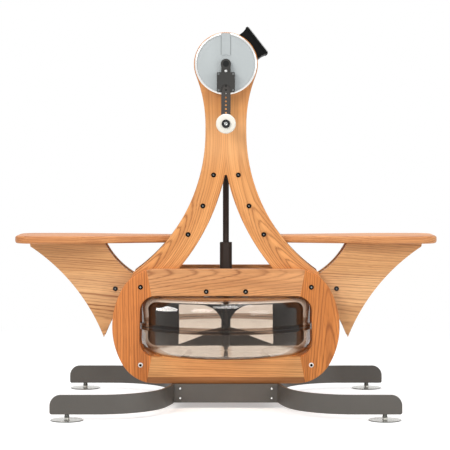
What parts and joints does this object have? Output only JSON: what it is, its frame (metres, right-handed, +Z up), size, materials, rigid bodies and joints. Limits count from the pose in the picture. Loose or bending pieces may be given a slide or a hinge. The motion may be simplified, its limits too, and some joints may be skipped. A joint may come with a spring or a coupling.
{
  "type": "hand-crank water ergometer",
  "caption": "Upper-body water rower: wooden lyre uprights and oval rings hold a round water tank, a cranked head above it and a cantilevered seat at each side.",
  "frame": {"origin": "on the floor, below the middle of the crank shaft", "axes": "+X through both seats to the right, +Y along the crank shaft to the rear, +Z up"},
  "size_m": [1.23, 0.796, 1.1081],
  "materials": {
    "frame_wood": "oiled ash, satin",
    "seat_wood": "oiled ash, satin, lighter than the frame",
    "base_steel": "dark grey powder coat, satin",
    "foot_metal": "polished",
    "crank_paint": "dark grey satin coat",
    "grip_plastic": "off-white, smooth",
    "console_plastic": "black, fine texture",
    "console_glass": "dark clear window",
    "bolt_steel": "blackened steel with bright sockets",
    "plain_steel": "brushed",
    "tank_smoke": "clear smoked polycarbonate",
    "seal_rubber": "black",
    "plug_plastic": "black",
    "cradle_wood": "oiled ash",
    "shaft_paint": "dark grey-brown satin coat",
    "paddle_metal": "dark grey satin coat",
    "drum_paint": "dark grey satin coat",
    "rim_metal": "polished",
    "disc_metal": "satin spun"
  },
  "bodies": {
    "frame": {"base_bolts": "bolt_steel", "base_corners": "base_steel", "base_plates": "base_steel", "base_strap_left": "base_steel", "base_strap_right": "base_steel", "console_bezel": "console_plastic", "console_body": "console_plastic", "console_bracket": "drum_paint", "console_screen": "console_glass", "crank_bearings": "plain_steel", "drive_bearing_block": "drum_paint", "head_discs": "disc_metal", "head_drum": "drum_paint", "head_rims": "rim_metal", "leg_bolts": "bolt_steel", "ring_bolts": "bolt_steel", "ring_front_bottom_rail": "frame_wood", "ring_front_left_end": "frame_wood", "ring_front_right_end": "frame_wood", "ring_front_top_rail": "frame_wood", "ring_rear_bottom_rail": "frame_wood", "ring_rear_left_end": "frame_wood", "ring_rear_right_end": "frame_wood", "ring_rear_top_rail": "frame_wood", "ring_spacers": "plain_steel", "seat_guides": "plain_steel", "shaft_bridge": "plain_steel", "shaft_seal": "seal_rubber", "tank_cradle": "cradle_wood", "tank_fill_plug": "plug_plastic", "tank_gasket": "seal_rubber", "tank_lower_shell": "tank_smoke", "tank_upper_shell": "tank_smoke", "upright_front": "frame_wood", "upright_rear": "frame_wood"},
    "crank": {"crank_shaft": "plain_steel", "crown_gear": "plain_steel", "crank_arm_front": "crank_paint", "crank_arm_rear": "crank_paint", "clamp_covers": "crank_paint", "clamp_screws": "bolt_steel"},
    "drive": {"drive_shaft": "shaft_paint", "paddle_shaft": "shaft_paint", "shaft_sleeve": "shaft_paint", "paddle": "paddle_metal", "drive_pinion": "plain_steel"},
    "front_bar": {"crank_bar_front": "crank_paint"},
    "rear_bar": {"crank_bar_rear": "crank_paint"},
    "front_grip": {"grip_front": "grip_plastic"},
    "rear_grip": {"grip_rear": "grip_plastic"},
    "left_seat": {"seat_board_left": "seat_wood", "seat_fins_left": "seat_wood", "seat_hardware_left": "plain_steel"},
    "right_seat": {"seat_board_right": "seat_wood", "seat_fins_right": "seat_wood", "seat_hardware_right": "plain_steel"},
    "front_left_foot": {"foot_front_left": "foot_metal"},
    "front_right_foot": {"foot_front_right": "foot_metal"},
    "rear_left_foot": {"foot_rear_left": "foot_metal"},
    "rear_right_foot": {"foot_rear_right": "foot_metal"}
  },
  "joints": [
    {"name": "crank_spin", "type": "hinge", "parent": "frame", "child": "crank", "pos_m": [0, 0, 0.997], "axis": [0, 1, 0], "continuous": true},
    {"name": "drive_spin", "type": "hinge", "parent": "frame", "child": "drive", "pos_m": [0, 0, 0.5], "axis": [0, 0, 1], "continuous": true},
    {"name": "front_bar_slide", "type": "slide", "parent": "crank", "child": "front_bar", "axis": [0, 0, 1], "range_m": [0, 0.044]},
    {"name": "rear_bar_slide", "type": "slide", "parent": "crank", "child": "rear_bar", "axis": [0, 0, 1], "range_m": [0, 0.044]},
    {"name": "front_grip_spin", "type": "hinge", "parent": "front_bar", "child": "front_grip", "pos_m": [0, -0.19, 0.822], "axis": [0, 1, 0], "continuous": true},
    {"name": "rear_grip_spin", "type": "hinge", "parent": "rear_bar", "child": "rear_grip", "pos_m": [0, 0.19, 0.822], "axis": [0, 1, 0], "continuous": true},
    {"name": "left_seat_height", "type": "slide", "parent": "frame", "child": "left_seat", "axis": [0.4803, 0, 0.8771], "range_m": [0, 0.19]},
    {"name": "right_seat_height", "type": "slide", "parent": "frame", "child": "right_seat", "axis": [-0.4803, 0, 0.8771], "range_m": [0, 0.19]},
    {"name": "front_left_foot_level", "type": "slide", "parent": "frame", "child": "front_left_foot", "axis": [0, 0, -1], "range_m": [0, 0.008]},
    {"name": "front_right_foot_level", "type": "slide", "parent": "frame", "child": "front_right_foot", "axis": [0, 0, -1], "range_m": [0, 0.008]},
    {"name": "rear_left_foot_level", "type": "slide", "parent": "frame", "child": "rear_left_foot", "axis": [0, 0, -1], "range_m": [0, 0.008]},
    {"name": "rear_right_foot_level", "type": "slide", "parent": "frame", "child": "rear_right_foot", "axis": [0, 0, -1], "range_m": [0, 0.008]}
  ],
  "couplings": [
    {"joint": "drive_spin", "follows": "crank_spin", "ratio": -2.5}
  ]
}
